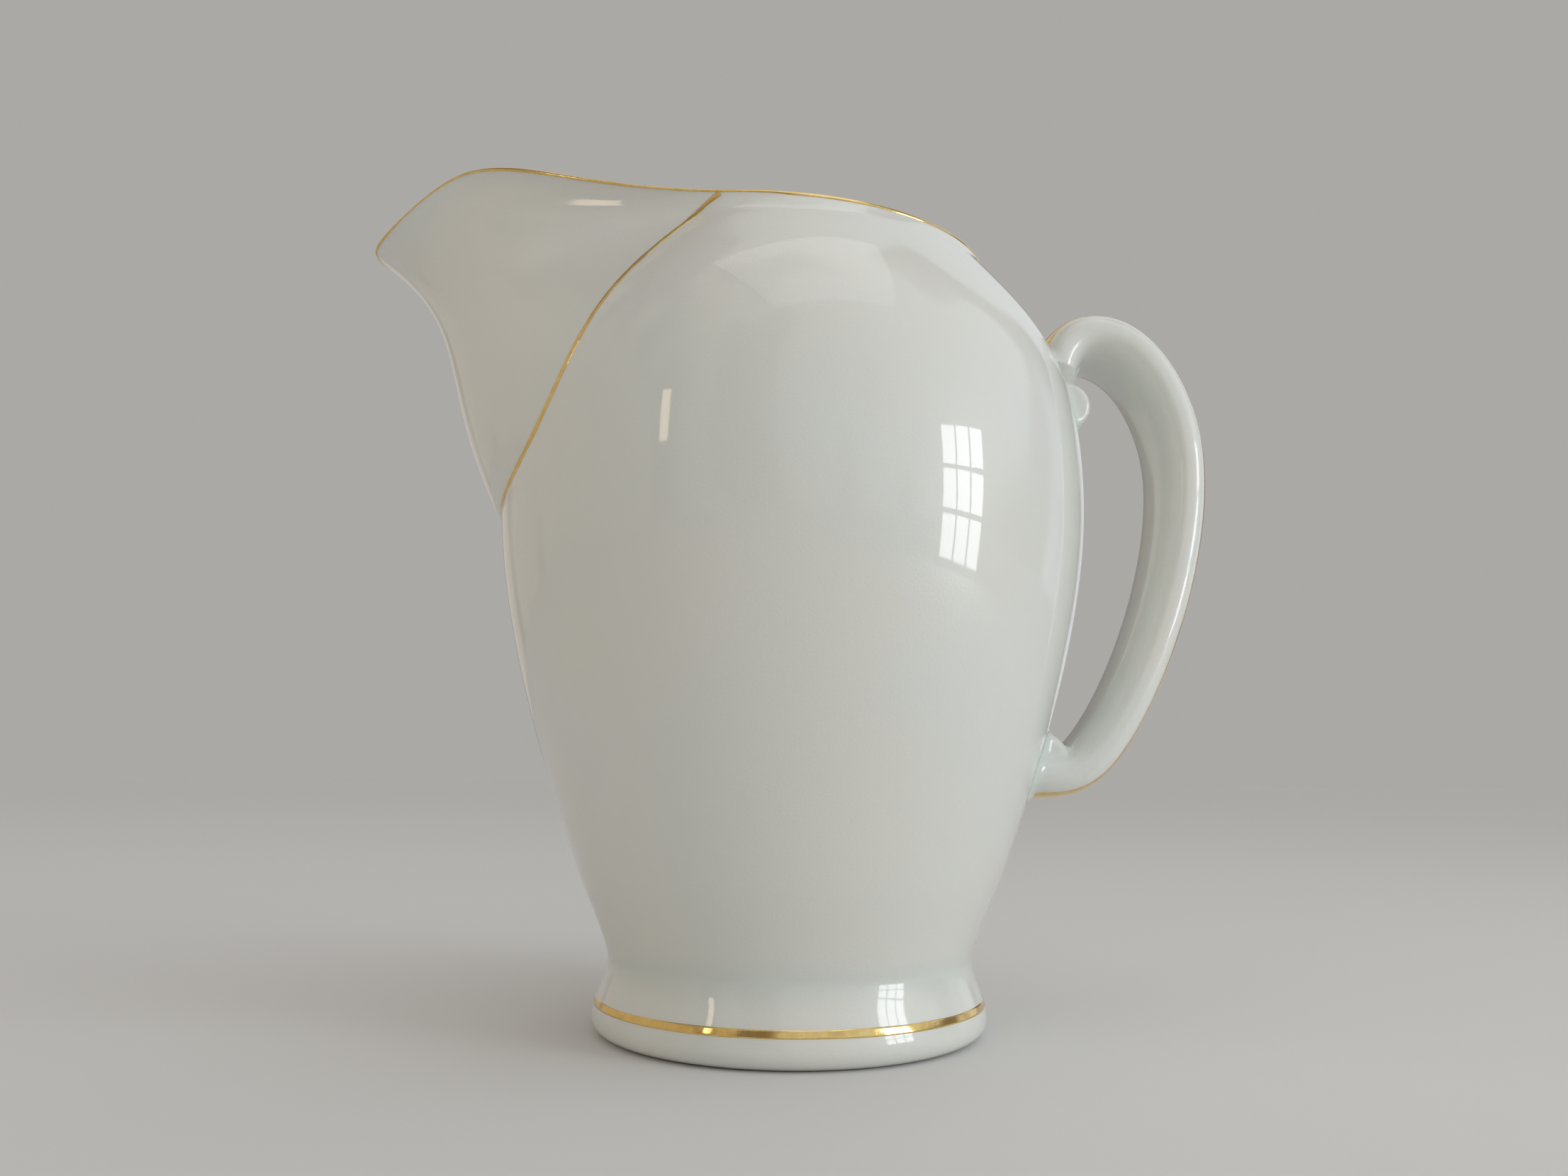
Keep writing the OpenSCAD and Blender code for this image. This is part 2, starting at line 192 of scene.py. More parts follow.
def spout_grid(inside, columns):
    """Rows of spout points from the bib to the lip, each from the -Y crease to the +Y crease."""
    s = np.linspace(-1, 1, 2 * columns + 1)
    t = 1 - np.abs(s)
    share = (CREASE[:, 1] - BIB_H) / (CREASE_TOP_Z - BIB_H)
    keel_z = BIB_H + share * (TIP_Z - BIB_H)

    def plan(i, inner):
        a, z = CREASE[i]
        start = polar(inner_r(z) if inner else outer_r(z), a, 0.0)
        zk = min(keel_z[i] + 0.5, TIP_Z)
        slope = keel_x(zk) - keel_x(zk - 1)
        thick = (WALL + (LIP - WALL) * share[i] ** 2) * (1 + slope ** 2) ** 0.5
        end = np.array([keel_x(keel_z[i]) + (thick if inner else 0.0), 0.0, 0.0]) if i else start
        way = radians(a + CREASE_TURN * (1 - share[i]) + 3)
        reach = 0.4 * np.linalg.norm(end - start)
        side = start + reach * np.array([-sin(way), cos(way), 0.0])
        return bezier([start, side, end + [0.0, KEEL_FULLNESS * start[1], 0.0], end], t)

    top_x = plan(len(CREASE) - 1, False)[:, 0]
    rise = lip_z(top_x) - (CREASE_TOP_Z * (1 - t) + TIP_Z * t)
    rise -= rise[0] * (1 - t)
    rows = []
    for i in range(len(CREASE)):
        row = plan(i, inside)
        row[:, 1] = np.where(s > 0, -row[:, 1], row[:, 1])
        wing = max(0.0, (CREASE[i, 1] - WING_MORPH_H) / (CREASE_TOP_Z - WING_MORPH_H)) ** 2
        row[:, 2] = CREASE[i, 1] * (1 - t) + keel_z[i] * t + wing * rise
        rows.append(row)
    return np.array(rows)


def column_angle(s, a):
    """Angle at column share s, from the crease at angle a round the back to the other crease."""
    near = a + 4 * s * (90 - a)
    far = 360 - (a + 4 * (1 - s) * (90 - a))
    return np.where(s < 0.25, near, np.where(s > 0.75, far, 360 * s))


def body_grid(inside, columns):
    """Rows of the body beside the bib, from its lowest point to the lip."""
    radius = inner_r if inside else outer_r
    s = np.linspace(0, 1, columns + 1)
    top = lip_z(-MOUTH_R * np.cos(np.radians(column_angle(s, CREASE_TOP_A))))
    rows = []
    for a, z in CREASE:
        lean = np.maximum(0.0, z - MORPH_H) * (top - MORPH_H) / (CREASE_TOP_Z - MORPH_H)
        height = np.where(z < MORPH_H, z, MORPH_H + lean)
        rows.append(polar(radius(height), column_angle(s, a), height))
    return np.array(rows)


def rings(profile, columns):
    a = np.linspace(0, 360, columns + 1)
    return np.array([polar(r, a, z) for r, z in profile])


# ---- meshes ----------------------------------------------------------------------------------

def sheet(grid, flipped=False):
    """Vertices and quads of a grid of points."""
    rows, width = grid.shape[:2]
    index = np.arange(rows * width).reshape(rows, width)
    corners = [index[:-1, :-1], index[:-1, 1:], index[1:, 1:], index[1:, :-1]]
    quads = np.stack(corners, axis=-1).reshape(-1, 4)
    return grid.reshape(-1, 3), quads[:, ::-1] if flipped else quads


def merged(sheets):
    """Joins sheets into one vertex and face list, welding points that coincide."""
    points = np.vstack([p for p, _ in sheets])
    faces, first = [], 0
    for p, q in sheets:
        faces.append(np.asarray(q) + first)
        first += len(p)
    keys, back = np.unique(np.round(points, 4), axis=0, return_inverse=True)
    back = back.reshape(-1)
    used = np.zeros(len(keys), int)
    used[back] = np.arange(len(points))
    welded = []
    for q in faces:
        for face in back[q]:
            ring = [v for k, v in enumerate(face) if v != face[k - 1]]
            if len(ring) > 2:
                welded.append([int(v) for v in ring])
    return points[used], welded


def make(name, points, faces, material, slot, nodes, normals=None):
    """A smooth piece that rides on the jug and stands for the named CAD nodes."""
    mesh = bpy.data.meshes.new(name)
    mesh.from_pydata((np.asarray(points) * MM).tolist(), [], [list(map(int, f)) for f in faces])
    mesh.update()
    mesh.polygons.foreach_set("use_smooth", [True] * len(mesh.polygons))
    if normals is not None:
        mesh.normals_split_custom_set_from_vertices([tuple(n) for n in normals])
    mesh.materials.append(material)
    piece = bpy.data.objects.new(name, mesh)
    bpy.context.collection.objects.link(piece)
    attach(piece, "root")
    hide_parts(*nodes)
    return piece


# ---- vessel ----------------------------------------------------------------------------------

TREAD_R = 24.3
TREAD_IN_R = 20.6
FOOT_EDGE = v2(FOOT_R, 2.4)
FOOT_SIDE = chain(
    [[v2(TREAD_R, 0), v2(TREAD_R + 1.9, 0), FOOT_EDGE - v2(0, 1.4), FOOT_EDGE],
     [FOOT_EDGE, FOOT_EDGE + v2(0, 2.2), waist + v2(0.2, -2.6), waist]],
    [16, 24])
COLUMNS = 216
SPOUT_COLUMNS = 48


def underside():
    """Profile of the hollow under the foot, from the axis to the outer edge of the tread."""
    rise = v2(TREAD_IN_R - 0.5, 1.3)
    hollow = chain([[v2(0, RECESS_H + 0.25), v2(9, RECESS_H + 0.2), v2(15, RECESS_H), v2(17.6, RECESS_H)],
                    [v2(17.6, RECESS_H), v2(19.4, RECESS_H), rise - v2(0.5, -1.1), rise],
                    [rise, rise + v2(0.3, -0.8), v2(TREAD_IN_R + 0.1, 0.15), v2(TREAD_IN_R + 0.5, 0)]],
                   [10, 10, 8])
    tread = np.stack([np.linspace(TREAD_IN_R + 0.5, TREAD_R, 7)[1:-1], np.zeros(5)], axis=1)
    return np.vstack([hollow, tread])


def floor_inside():
    """Profile of the inside from the axis to where the inner wall is regular."""
    join_z = 15.0
    join = v2(inner_r(join_z), join_z)
    lean = v2(inner_r(join_z + 1) - inner_r(join_z - 1), 2) / 2
    bend = v2(12, FLOOR_H)
    return chain([[v2(0, FLOOR_H - 0.1), v2(5, FLOOR_H - 0.1), bend - v2(4, 0), bend],
                  [bend, bend + v2(8.5, 0), join - 4.5 * lean, join]], [10, 20])


def lip_cap(outer, inner, rise, steps):
    """Rows of a half ellipse that closes a lip between its outer and inner row."""
    a = np.pi * np.arange(1, steps) / steps
    middle, half = (outer + inner) / 2, (outer - inner) / 2
    return [middle + half * np.cos(k) + [0, 0, rise * np.sin(k)] for k in a]


below = PROFILE[PROFILE[:, 1] < BIB_H - 0.6]
inner_low = floor_inside()
inner_rest = INNER[(INNER[:, 1] > inner_low[-1, 1] + 0.5) & (INNER[:, 1] < BIB_H - 0.6)]
outside = np.vstack([underside(), FOOT_SIDE[:-1], below])
body_out, body_in = body_grid(False, COLUMNS), body_grid(True, COLUMNS)
spout_out, spout_in = spout_grid(False, SPOUT_COLUMNS), spout_grid(True, SPOUT_COLUMNS)
LIP_RISE = CAP_H - 0.06
body_wall = np.vstack([rings(outside, COLUMNS), body_out,
                       np.array(lip_cap(body_out[-1], body_in[-1], LIP_RISE, 10)),
                       body_in[::-1], rings(np.vstack([inner_low, inner_rest])[::-1], COLUMNS)])
spout_wall = np.vstack([spout_out, np.array(lip_cap(spout_out[-1], spout_in[-1], LIP_RISE, 10)),
                        spout_in[::-1]])
vessel_points, vessel_faces = merged([sheet(body_wall), sheet(spout_wall, True)])


# ---- handle, as a distance field -------------------------------------------------------------

CROWN = v2(45, 100.2)
STRAP_BACK = v2(57.4, 79.5)
STRAP_LOW = v2(43.5, 38.8)
STRAP = chain(
    [[v2(39.2, 87.5), v2(38.2, 95.6), CROWN - v2(4.8, 0), CROWN],
     [CROWN, CROWN + v2(6.8, 0), STRAP_BACK + v2(0, 10.5), STRAP_BACK],
     [STRAP_BACK, STRAP_BACK - v2(0, 14.5), STRAP_LOW + v2(6.5, 7.7), STRAP_LOW],
     [STRAP_LOW, STRAP_LOW - v2(3, 3.6), v2(37.5, 34.9), v2(33, 35.3)]],
    [40, 44, 48, 20])
STRAP_POWER = 2.5
SCROLL_AT = v2(40.3, 89)
SCROLL_R = 3.5
SCROLL_W = 13.0
TOE_W = 13.0
TONGUE_W = 8.0
TOE_AT = v2(36.3, 38.2)
TOE_R = 2.4


def blend(a, b, reach):
    """Union of two distance fields with a fillet of about the given reach."""
    h = np.clip(reach - np.abs(a - b), 0, None) / reach
    return np.minimum(a, b) - h * h * reach / 4


def body_distance(p):
    r = np.hypot(p[..., 0], p[..., 1])
    z = p[..., 2]
    slope = (outer_r(z + 0.2) - outer_r(z - 0.2)) / 0.4
    return (r - outer_r(z)) / np.sqrt(1 + slope ** 2)


def strap_nearest(xz):
    """Signed distance of points of the XZ plane from the middle line of the strap, and where on it."""
    a, b = STRAP[:-1], STRAP[1:]
    along = b - a
    t = np.einsum("nij,ij->ni", xz[:, None] - a, along) / (along ** 2).sum(1)
    near = a + np.clip(t, 0, 1)[..., None] * along
    gap = xz[:, None] - near
    length = np.linalg.norm(gap, axis=2)
    k = length.argmin(1)
    rows = np.arange(len(xz))
    side = along[k, 0] * gap[rows, k, 1] - along[k, 1] * gap[rows, k, 0]
    return np.sign(side) * length[rows, k], k + np.clip(t[rows, k], 0, 1)


def strap_distance(offset, station, y):
    """Distance from the strap, whose section is between an ellipse and a rectangle.
    Its end behind the scroll is a narrower tongue."""
    half_w = np.interp(station, TONGUE_STATIONS, [TONGUE_W / 2, STRAP_W / 2])
    u, v = np.abs(offset) / (STRAP_T / 2), np.abs(y) / half_w
    g = np.maximum((u ** STRAP_POWER + v ** STRAP_POWER) ** (1 / STRAP_POWER), 0.2)
    du = (u / g) ** (STRAP_POWER - 1) / (STRAP_T / 2)
    dv = (v / g) ** (STRAP_POWER - 1) / half_w
    return (g - 1) / np.sqrt(du ** 2 + dv ** 2)


def roll_distance(p, at, radius, width, edge):
    """Distance from a roll across the jug, with rounded ends."""
    d = np.stack([np.hypot(p[..., 0] - at[0], p[..., 2] - at[1]) - radius + edge,
                  np.abs(p[..., 1]) - width / 2 + edge], axis=-1)
    return np.linalg.norm(np.maximum(d, 0), axis=-1) + np.minimum(d.max(-1), 0) - edge


SEAM_DEPTH = 0.004
ROOT_FILLET = 1.8
TONGUE_STATIONS = np.interp([92.2, 94.6], STRAP[:40, 1], np.arange(40))


def handle_distance(p, nearest=None):
    """Distance from the handle alone, and from the handle blended into the body."""
    offset, station = nearest or strap_nearest(p[..., [0, 2]])
    alone = strap_distance(offset, station, p[..., 1])
    alone = blend(alone, roll_distance(p, SCROLL_AT, SCROLL_R, SCROLL_W, 0.8), 0.9)
    alone = blend(alone, roll_distance(p, TOE_AT, TOE_R, TOE_W, 1.1), 1.6)
    return alone, blend(alone, body_distance(p) + SEAM_DEPTH, ROOT_FILLET)


def surface_net(field, origin, step):
    """Quads of the zero level of a field on a grid, with a vertex in each cell that it crosses."""
    inside = field < 0
    corners = [np.array([i, j, k]) for i in (0, 1) for j in (0, 1) for k in (0, 1)]
    shape = np.array(field.shape) - 1

    def part(grid, c):
        return grid[c[0]:c[0] + shape[0], c[1]:c[1] + shape[1], c[2]:c[2] + shape[2]]

    count = sum(part(inside, c).astype(int) for c in corners)
    cells = np.argwhere((count > 0) & (count < 8))
    index = np.full(shape, -1)
    index[tuple(cells.T)] = np.arange(len(cells))
    total, hits = np.zeros((len(cells), 3)), np.zeros(len(cells))
    for c in corners:
        for axis in range(3):
            if c[axis]:
                continue
            d = c.copy()
            d[axis] = 1
            a, b = field[tuple((cells + c).T)], field[tuple((cells + d).T)]
            cross = (a < 0) != (b < 0)
            t = np.where(cross, a / np.where(cross, a - b, 1), 0)
            at = cells + c + t[:, None] * (d - c)
            total[cross] += at[cross]
            hits[cross] += 1
    points = origin + step * total / hits[:, None]
    quads = []
    for axis in range(3):
        u, v = np.eye(3, dtype=int)[(axis + 1) % 3], np.eye(3, dtype=int)[(axis + 2) % 3]
        e = np.eye(3, dtype=int)[axis]
        low = np.argwhere(np.ones(shape, bool))
        low = low[(low > 0).all(1)]
        a, b = inside[tuple(low.T)], inside[tuple((low + e).T)]
        for wanted in (True, False):
            at = low[(a == wanted) & (b != wanted)]
            ring = [at, at - u, at - u - v, at - v]
            q = np.stack([index[tuple(r.T)] for r in ring], axis=1)
            quads.append(q if wanted else q[:, ::-1])
    return points, np.vstack(quads)


def field_normals(p):
    e = 0.02
    steps = np.eye(3) * e
    n = np.stack([handle_distance(p + s)[1] - handle_distance(p - s)[1] for s in steps], axis=1)
    return n / np.linalg.norm(n, axis=1)[:, None]


def onto_handle(p, proud=0.0):
    """Moves points onto the blended surface, or a little above it."""
    for _ in range(4):
        p = p - (handle_distance(p)[1] - proud)[:, None] * field_normals(p)
    return p


VOXEL = 0.4
box_low, box_high = np.array([28.0, -11.0, 27.0]), np.array([63.0, 11.0, 106.0])
grid_axes = [np.arange(a, b, VOXEL) for a, b in zip(box_low, box_high)]
gx, gz = np.meshgrid(grid_axes[0], grid_axes[2], indexing="ij")
grid_points = np.stack(np.meshgrid(*grid_axes, indexing="ij"), axis=-1)
plane = strap_nearest(np.stack([gx.ravel(), gz.ravel()], axis=1))
spread = [np.broadcast_to(v.reshape(gx.shape)[:, None, :], grid_points.shape[:3]) for v in plane]
joined = handle_distance(grid_points, tuple(spread))[1]
# only the handle and its fillets are meshed; the rest of the body is left to the vessel
net_points, net_quads = surface_net(joined, box_low, VOXEL)
net_points = onto_handle(net_points)
near_handle = handle_distance(net_points)[0] < ROOT_FILLET * 0.99
net_quads = net_quads[near_handle[net_quads].all(1)]
kept, back = np.unique(net_quads, return_inverse=True)
handle_points, handle_faces = net_points[kept], back.reshape(net_quads.shape)
handle_normals = field_normals(handle_points)


# ---- materials -------------------------------------------------------------------------------

class Nodes:
    """Small helper that adds and links shader nodes."""

    def __init__(self, tree):
        self.tree = tree
        tree.nodes.clear()

    def add(self, kind, **values):
        node = self.tree.nodes.new("ShaderNode" + kind)
        for key, value in values.items():
            if hasattr(node, key):
                setattr(node, key, value)
            else:
                self.put(node.inputs[key.replace("_", " ")], value)
        return node

    def put(self, socket, value):
        if isinstance(value, bpy.types.NodeSocket):
            self.tree.links.new(value, socket)
        else:
            socket.default_value = value

    def noise(self, where, size, detail=2.0, rough=0.5):
        """Noise with features of the given size in metres, from 0 to 1."""
        node = self.add("TexNoise", Vector=where, Scale=1 / size, Detail=detail, Roughness=rough)
        return node.outputs["Fac"]

    def ramp(self, value, low, high, to_low=0.0, to_high=1.0):
        node = self.add("MapRange", interpolation_type="SMOOTHSTEP")
        for name, v in (("Value", value), ("From Min", low), ("From Max", high),
                        ("To Min", to_low), ("To Max", to_high)):
            self.put(node.inputs[name], v)
        return node.outputs["Result"]

    def math(self, operation, a, b=0.0):
        node = self.add("Math", operation=operation)
        self.put(node.inputs[0], a)
        self.put(node.inputs[1], b)
        return node.outputs[0]

    def mix(self, share, a, b):
        node = self.add("Mix", data_type="RGBA")
        self.put(node.inputs[0], share)
        self.put(node.inputs[6], a)
        self.put(node.inputs[7], b)
        return node.outputs[2]


def rgb(r, g, b):
    return (r, g, b, 1.0)


def new_material(name):
    material = bpy.data.materials.new(name)
    material.use_nodes = True
    return material, Nodes(material.node_tree)


def surface(nodes, shader):
    out = nodes.add("OutputMaterial")
    nodes.put(out.inputs["Surface"], shader.outputs[0])


def specks(nodes, where, size, radius, share):
    """Sparse round specks, as a mask from 0 to 1."""
    cell = nodes.add("TexVoronoi", Vector=where, Scale=1 / size)
    dot = nodes.ramp(cell.outputs["Distance"], radius / size, 0.6 * radius / size)
    split = nodes.add("SeparateColor", Color=cell.outputs["Color"])
    return nodes.math("MULTIPLY", dot, nodes.ramp(split.outputs[0], 1 - share, 1 - share + 0.01))


GLAZE = rgb(0.765, 0.785, 0.745)
GLAZE_WARM = rgb(0.785, 0.785, 0.73)
# darker, greener glaze for the hollows: partly glaze pooling, partly painted shade
POOL_AND_SHADE = rgb(0.60, 0.68, 0.64)
BISCUIT = rgb(0.66, 0.64, 0.59)


def porcelain(name):
    """Glazed porcelain: clear glossy glaze, faint waves, and in the hollows glaze that is thicker and
    greener and darkened as painted shade.
    """
    material, n = new_material(name)
    where = n.add("TexCoord").outputs["Object"]
    xyz = n.add("SeparateXYZ", Vector=where)
    pool_and_shade = n.add("Attribute", attribute_name="pool_and_shade").outputs["Fac"]
    tone = n.mix(n.ramp(n.noise(where, 0.028, 3), 0.35, 0.65), GLAZE, GLAZE_WARM)
    # mixes in the darker, greener glaze of the hollows: glaze pooling together with painted shade
    tone = n.mix(n.math("MULTIPLY", pool_and_shade, 0.75), tone, POOL_AND_SHADE)
    mark = specks(n, where, 0.011, 0.00016, 0.05)
    tone = n.mix(n.math("MULTIPLY", mark, 0.75), tone, rgb(0.12, 0.09, 0.06))
    bare = n.ramp(xyz.outputs["Z"], 0.00022, 0.00010)
    grain = n.noise(where, 0.00035, 4, 0.6)
    biscuit = n.mix(n.ramp(grain, 0.3, 0.7), BISCUIT, rgb(0.72, 0.70, 0.65))
    scuffs = n.ramp(n.noise(where, 0.004, 5, 0.65), 0.52, 0.7)
    biscuit = n.mix(n.math("MULTIPLY", scuffs, 0.5), biscuit, rgb(0.38, 0.36, 0.33))
    waves = n.noise(where, 0.016, 1.5, 0.4)
    ripple = n.math("MULTIPLY", n.noise(where, 0.0022, 2), 0.02)
    relief = n.add("Bump", Strength=1.0, Distance=0.00006, Height=n.math("ADD", waves, ripple))
    rough_relief = n.add("Bump", Strength=0.8, Distance=0.00004, Height=grain, Normal=relief.outputs[0])
    smears = n.ramp(n.noise(where, 0.02, 4, 0.6), 0.4, 0.7, 0.03, 0.075)
    p = n.add("BsdfPrincipled")
    for socket, value in (
            ("Base Color", n.mix(bare, tone, biscuit)),
            ("Roughness", n.ramp(bare, 0, 1, 0.34, 0.75)),
            ("IOR", 1.5), ("Specular IOR Level", 0.3),
            ("Subsurface Weight", 0.18), ("Subsurface Scale", 0.0016),
            ("Coat Weight", n.ramp(bare, 0, 1, 1.0, 0.0)),
            ("Coat Roughness", smears), ("Coat IOR", 1.52),
            ("Coat Normal", relief.outputs[0]), ("Normal", rough_relief.outputs[0])):
        n.put(p.inputs[socket], value)
    p.inputs["Subsurface Radius"].default_value = (1.0, 0.9, 0.75)
    surface(n, p)
    return material


def gilding(name):
    """Bright burnished gold, with brush streaks and spots where it has worn thin."""
    material, n = new_material(name)
    where = n.add("TexCoord").outputs["Object"]
    streaks = n.noise(where, 0.0011, 3, 0.55)
    patches = n.noise(where, 0.009, 3, 0.5)
    tone = n.mix(n.ramp(patches, 0.3, 0.7), rgb(0.80, 0.56, 0.19), rgb(0.88, 0.66, 0.28))
    tone = n.mix(n.ramp(streaks, 0.35, 0.75, 0, 0.4), tone, rgb(0.62, 0.38, 0.11))
    worn = n.math("MULTIPLY", n.ramp(n.noise(where, 0.0007, 3, 0.7), 0.66, 0.72),
                  n.ramp(patches, 0.5, 0.62))
    roughness = n.ramp(streaks, 0.3, 0.8, 0.06, 0.17)
    relief = n.add("Bump", Strength=0.6, Distance=0.00002, Height=streaks)
    p = n.add("BsdfPrincipled")
    for socket, value in (
            ("Base Color", n.mix(worn, tone, GLAZE)), ("Metallic", n.math("SUBTRACT", 1.0, worn)),
            ("Roughness", roughness), ("IOR", 1.5), ("Normal", relief.outputs[0])):
        n.put(p.inputs[socket], value)
    surface(n, p)
    return material


PORCELAIN = porcelain("porcelain_glaze")
GOLD = gilding("burnished_gold")


# weights of the darker, greener glaze: glaze pooling together with painted shade in the hollows
def pool_and_shade_attribute(piece, values):
    layer = piece.data.attributes.new("pool_and_shade", "FLOAT", "POINT")
    layer.data.foreach_set("value", np.asarray(values, np.float32))


# ---- pieces ----------------------------------------------------------------------------------

vessel = make("vessel", vessel_points, vessel_faces, PORCELAIN, "porcelain",
              ["body", "spout", "foot"])
vessel_z = vessel_points[:, 2]
vessel_r = np.hypot(vessel_points[:, 0], vessel_points[:, 1])
on_outside = vessel_r > outer_r(np.clip(vessel_z, WAIST_H, RIM_H)) - WALL / 2
in_hollow = (vessel_r < TREAD_IN_R) & (vessel_r > 16)
# painted shade and glaze pooling at the waist crease and in the recess under the foot
pool_and_shade_attribute(vessel, 0.5 * np.exp(-((vessel_z - WAIST_H) / 2.2) ** 2) * on_outside
               + 0.8 * np.exp(-((vessel_z - RECESS_H) / 0.9) ** 2) * in_hollow)

handle = make("handle", handle_points, handle_faces, PORCELAIN, "porcelain",
              ["handle", "upper_luting_slip", "lower_luting_slip"], handle_normals)
# painted shade and glaze pooling where the handle meets the body
pool_and_shade_attribute(handle, 0.7 * np.exp(-(body_distance(handle_points) / 1.4) ** 2))

def unit_rows(v):
    return v / np.linalg.norm(v, axis=-1, keepdims=True)


def across(a, b):
    return (a * b).sum(-1, keepdims=True)


def lip_loop(body_row, spout_row):
    """One row round the whole lip: round the body and back along the spout."""
    return np.vstack([body_row, spout_row[::-1][1:-1]])


outer, inner = lip_loop(body_out[-1], spout_out[-1]), lip_loop(body_in[-1], spout_in[-1])
down_out = unit_rows(lip_loop(body_out[-2], spout_out[-2]) - outer)
down_in = unit_rows(lip_loop(body_in[-2], spout_in[-2]) - inner)
middle, half = (outer + inner) / 2, (outer - inner) / 2
side_out = unit_rows(half - across(half, down_out) * down_out)
side_in = unit_rows(-half + across(half, down_in) * down_in)
RIM_SKIRT = 0.32
half_wide = half + unit_rows(half) * LEAF
rim_rows = [outer + RIM_SKIRT * down_out + TUCK * side_out,
            outer + (RIM_SKIRT - 0.05) * down_out + LEAF * side_out]
rim_rows += [middle + half_wide * cos(a) + np.array([0, 0, CAP_H * sin(a)])
             for a in np.linspace(0, pi, 13)]
rim_rows += [inner + (RIM_SKIRT - 0.05) * down_in + LEAF * side_in,
             inner + RIM_SKIRT * down_in + TUCK * side_in]
rim_grid = np.array(rim_rows)
rim_grid = np.concatenate([rim_grid, rim_grid[:, :1]], axis=1)
make("rim_gilding", *merged([sheet(rim_grid)]), GOLD, "gilt", ["rim_gilding"])

vessel_tree = BVHTree.FromPolygons([tuple(p) for p in vessel_points], vessel_faces)


def leaf_profile(n):
    """Heights across a gilt line: tucked under at both edges, proud between."""
    h = np.full(n, LEAF)
    h[[0, -1]] = TUCK
    return h


def draped(grid):
    """Lays a grid of points, rows along the line and columns across it, on the vessel."""
    laid = np.empty_like(grid)
    heights = leaf_profile(grid.shape[1])
    for i, row in enumerate(grid):
        found = [vessel_tree.find_nearest(Vector(p)) for p in row]
        at = np.array([f[0] for f in found])
        normals = np.array([f[1] for f in found])
        smooth = unit_rows(np.array([normals[max(0, k - 2):k + 3].sum(0) for k in range(len(row))]))
        laid[i] = at + smooth * heights[:, None]
    return laid


CREASE_GILT_W = 0.95


def crease_side(y_sign):
    """Points across the gilt line along one crease, from the bib to the rim."""
    a, z = CREASE[1:, 0], CREASE[1:, 1]
    keep = z < CREASE_TOP_Z - 0.15
    a, z = a[keep], z[keep]
    line = polar(outer_r(z), a, z)
    run = unit_rows(np.gradient(line, axis=0))
    out = unit_rows(np.stack([-np.cos(np.radians(a)), -np.sin(np.radians(a)),
                              -(outer_r(z + 1) - outer_r(z - 1)) / 2], axis=1))
    side = unit_rows(np.cross(run, out))
    width = CREASE_GILT_W * (1 + 0.06 * np.sin(z * 1.7) + 0.04 * np.sin(z * 4.1 + 1))
    s = np.linspace(-0.5, 0.5, 9)
    grid = line[:, None] + side[:, None] * (width[:, None] * s)[..., None]
    grid[..., 1] *= y_sign
    return grid


near_side, far_side = crease_side(1), crease_side(-1)
crease_grid = draped(np.vstack([near_side[::-1], far_side]))
make("crease_gilding", *merged([sheet(crease_grid)]), GOLD, "gilt", ["crease_gilding"])

FOOT_GILT_H = 4.5
FOOT_GILT_W = 1.1
foot_a = np.linspace(0, 360, 241)
foot_rows = []
for a in foot_a:
    w = FOOT_GILT_W * (1 + 0.03 * sin(radians(a * 7)) + 0.02 * sin(radians(a * 17)))
    z = FOOT_GILT_H + w * np.linspace(-0.5, 0.5, 9)
    foot_rows.append(polar(np.interp(z, FOOT_SIDE[:, 1], FOOT_SIDE[:, 0]), a, z))
foot_grid = draped(np.array(foot_rows))
foot_grid[-1] = foot_grid[0]
make("foot_gilding", *merged([sheet(foot_grid, True)]), GOLD, "gilt", ["foot_gilding"])

STRAP_GILT_W = 14.0
STRIPE_START = 12  # station of the strap's path where the stripe may begin
strap_run = np.gradient(STRAP, axis=0)
# the path runs down the back of the strap, so its outer side is on the left
strap_side = unit_rows(np.stack([-strap_run[:, 1], strap_run[:, 0]], axis=1))
strap_y = STRAP_GILT_W * np.linspace(-0.5, 0.5, 25)
strap_out = STRAP_T / 2 * (1 - (np.abs(strap_y) / (STRAP_W / 2)) ** STRAP_POWER) ** (1 / STRAP_POWER)
strap_grid = np.stack([
    STRAP[:, None, 0] + strap_side[:, None, 0] * strap_out,
    np.broadcast_to(strap_y, (len(STRAP), len(strap_y))),
    STRAP[:, None, 1] + strap_side[:, None, 1] * strap_out], axis=-1)
above_tongue = np.arange(len(STRAP)) > STRIPE_START
clear_of_body = (body_distance(strap_grid) > -0.4).all(1) & above_tongue
strap_grid = strap_grid[clear_of_body]
proud = np.broadcast_to(leaf_profile(len(strap_y)), strap_grid.shape[:2]).copy()
proud[[0, -1]] = TUCK
on_back = onto_handle(strap_grid.reshape(-1, 3), proud.reshape(-1))
stripe_grid = on_back.reshape(strap_grid.shape)
make("handle_gilding", *merged([sheet(stripe_grid, True)]), GOLD, "gilt", ["handle_gilding"])


# ---- stage, light and camera -----------------------------------------------------------------

def stage_material():
    material, n = new_material("pale_floor")
    where = n.add("TexCoord").outputs["Object"]
    tone = n.mix(n.noise(where, 0.3, 2), rgb(0.755, 0.75, 0.745), rgb(0.775, 0.77, 0.765))
    p = n.add("BsdfPrincipled", Roughness=0.9)
    n.put(p.inputs["Base Color"], tone)
    n.put(p.inputs["Specular IOR Level"], 0.2)
    surface(n, p)
    return material


def stage_floor():
    size = 30.0
    mesh = bpy.data.meshes.new("floor")
    corners = [(-size, -size, 0), (size, -size, 0), (size, size, 0), (-size, size, 0)]
    mesh.from_pydata(corners, [], [(0, 1, 2, 3)])
    mesh.materials.append(stage_material())
    floor = bpy.data.objects.new("floor", mesh)
    bpy.context.collection.objects.link(floor)


LIT_POINT = (0, 0, 0.06)


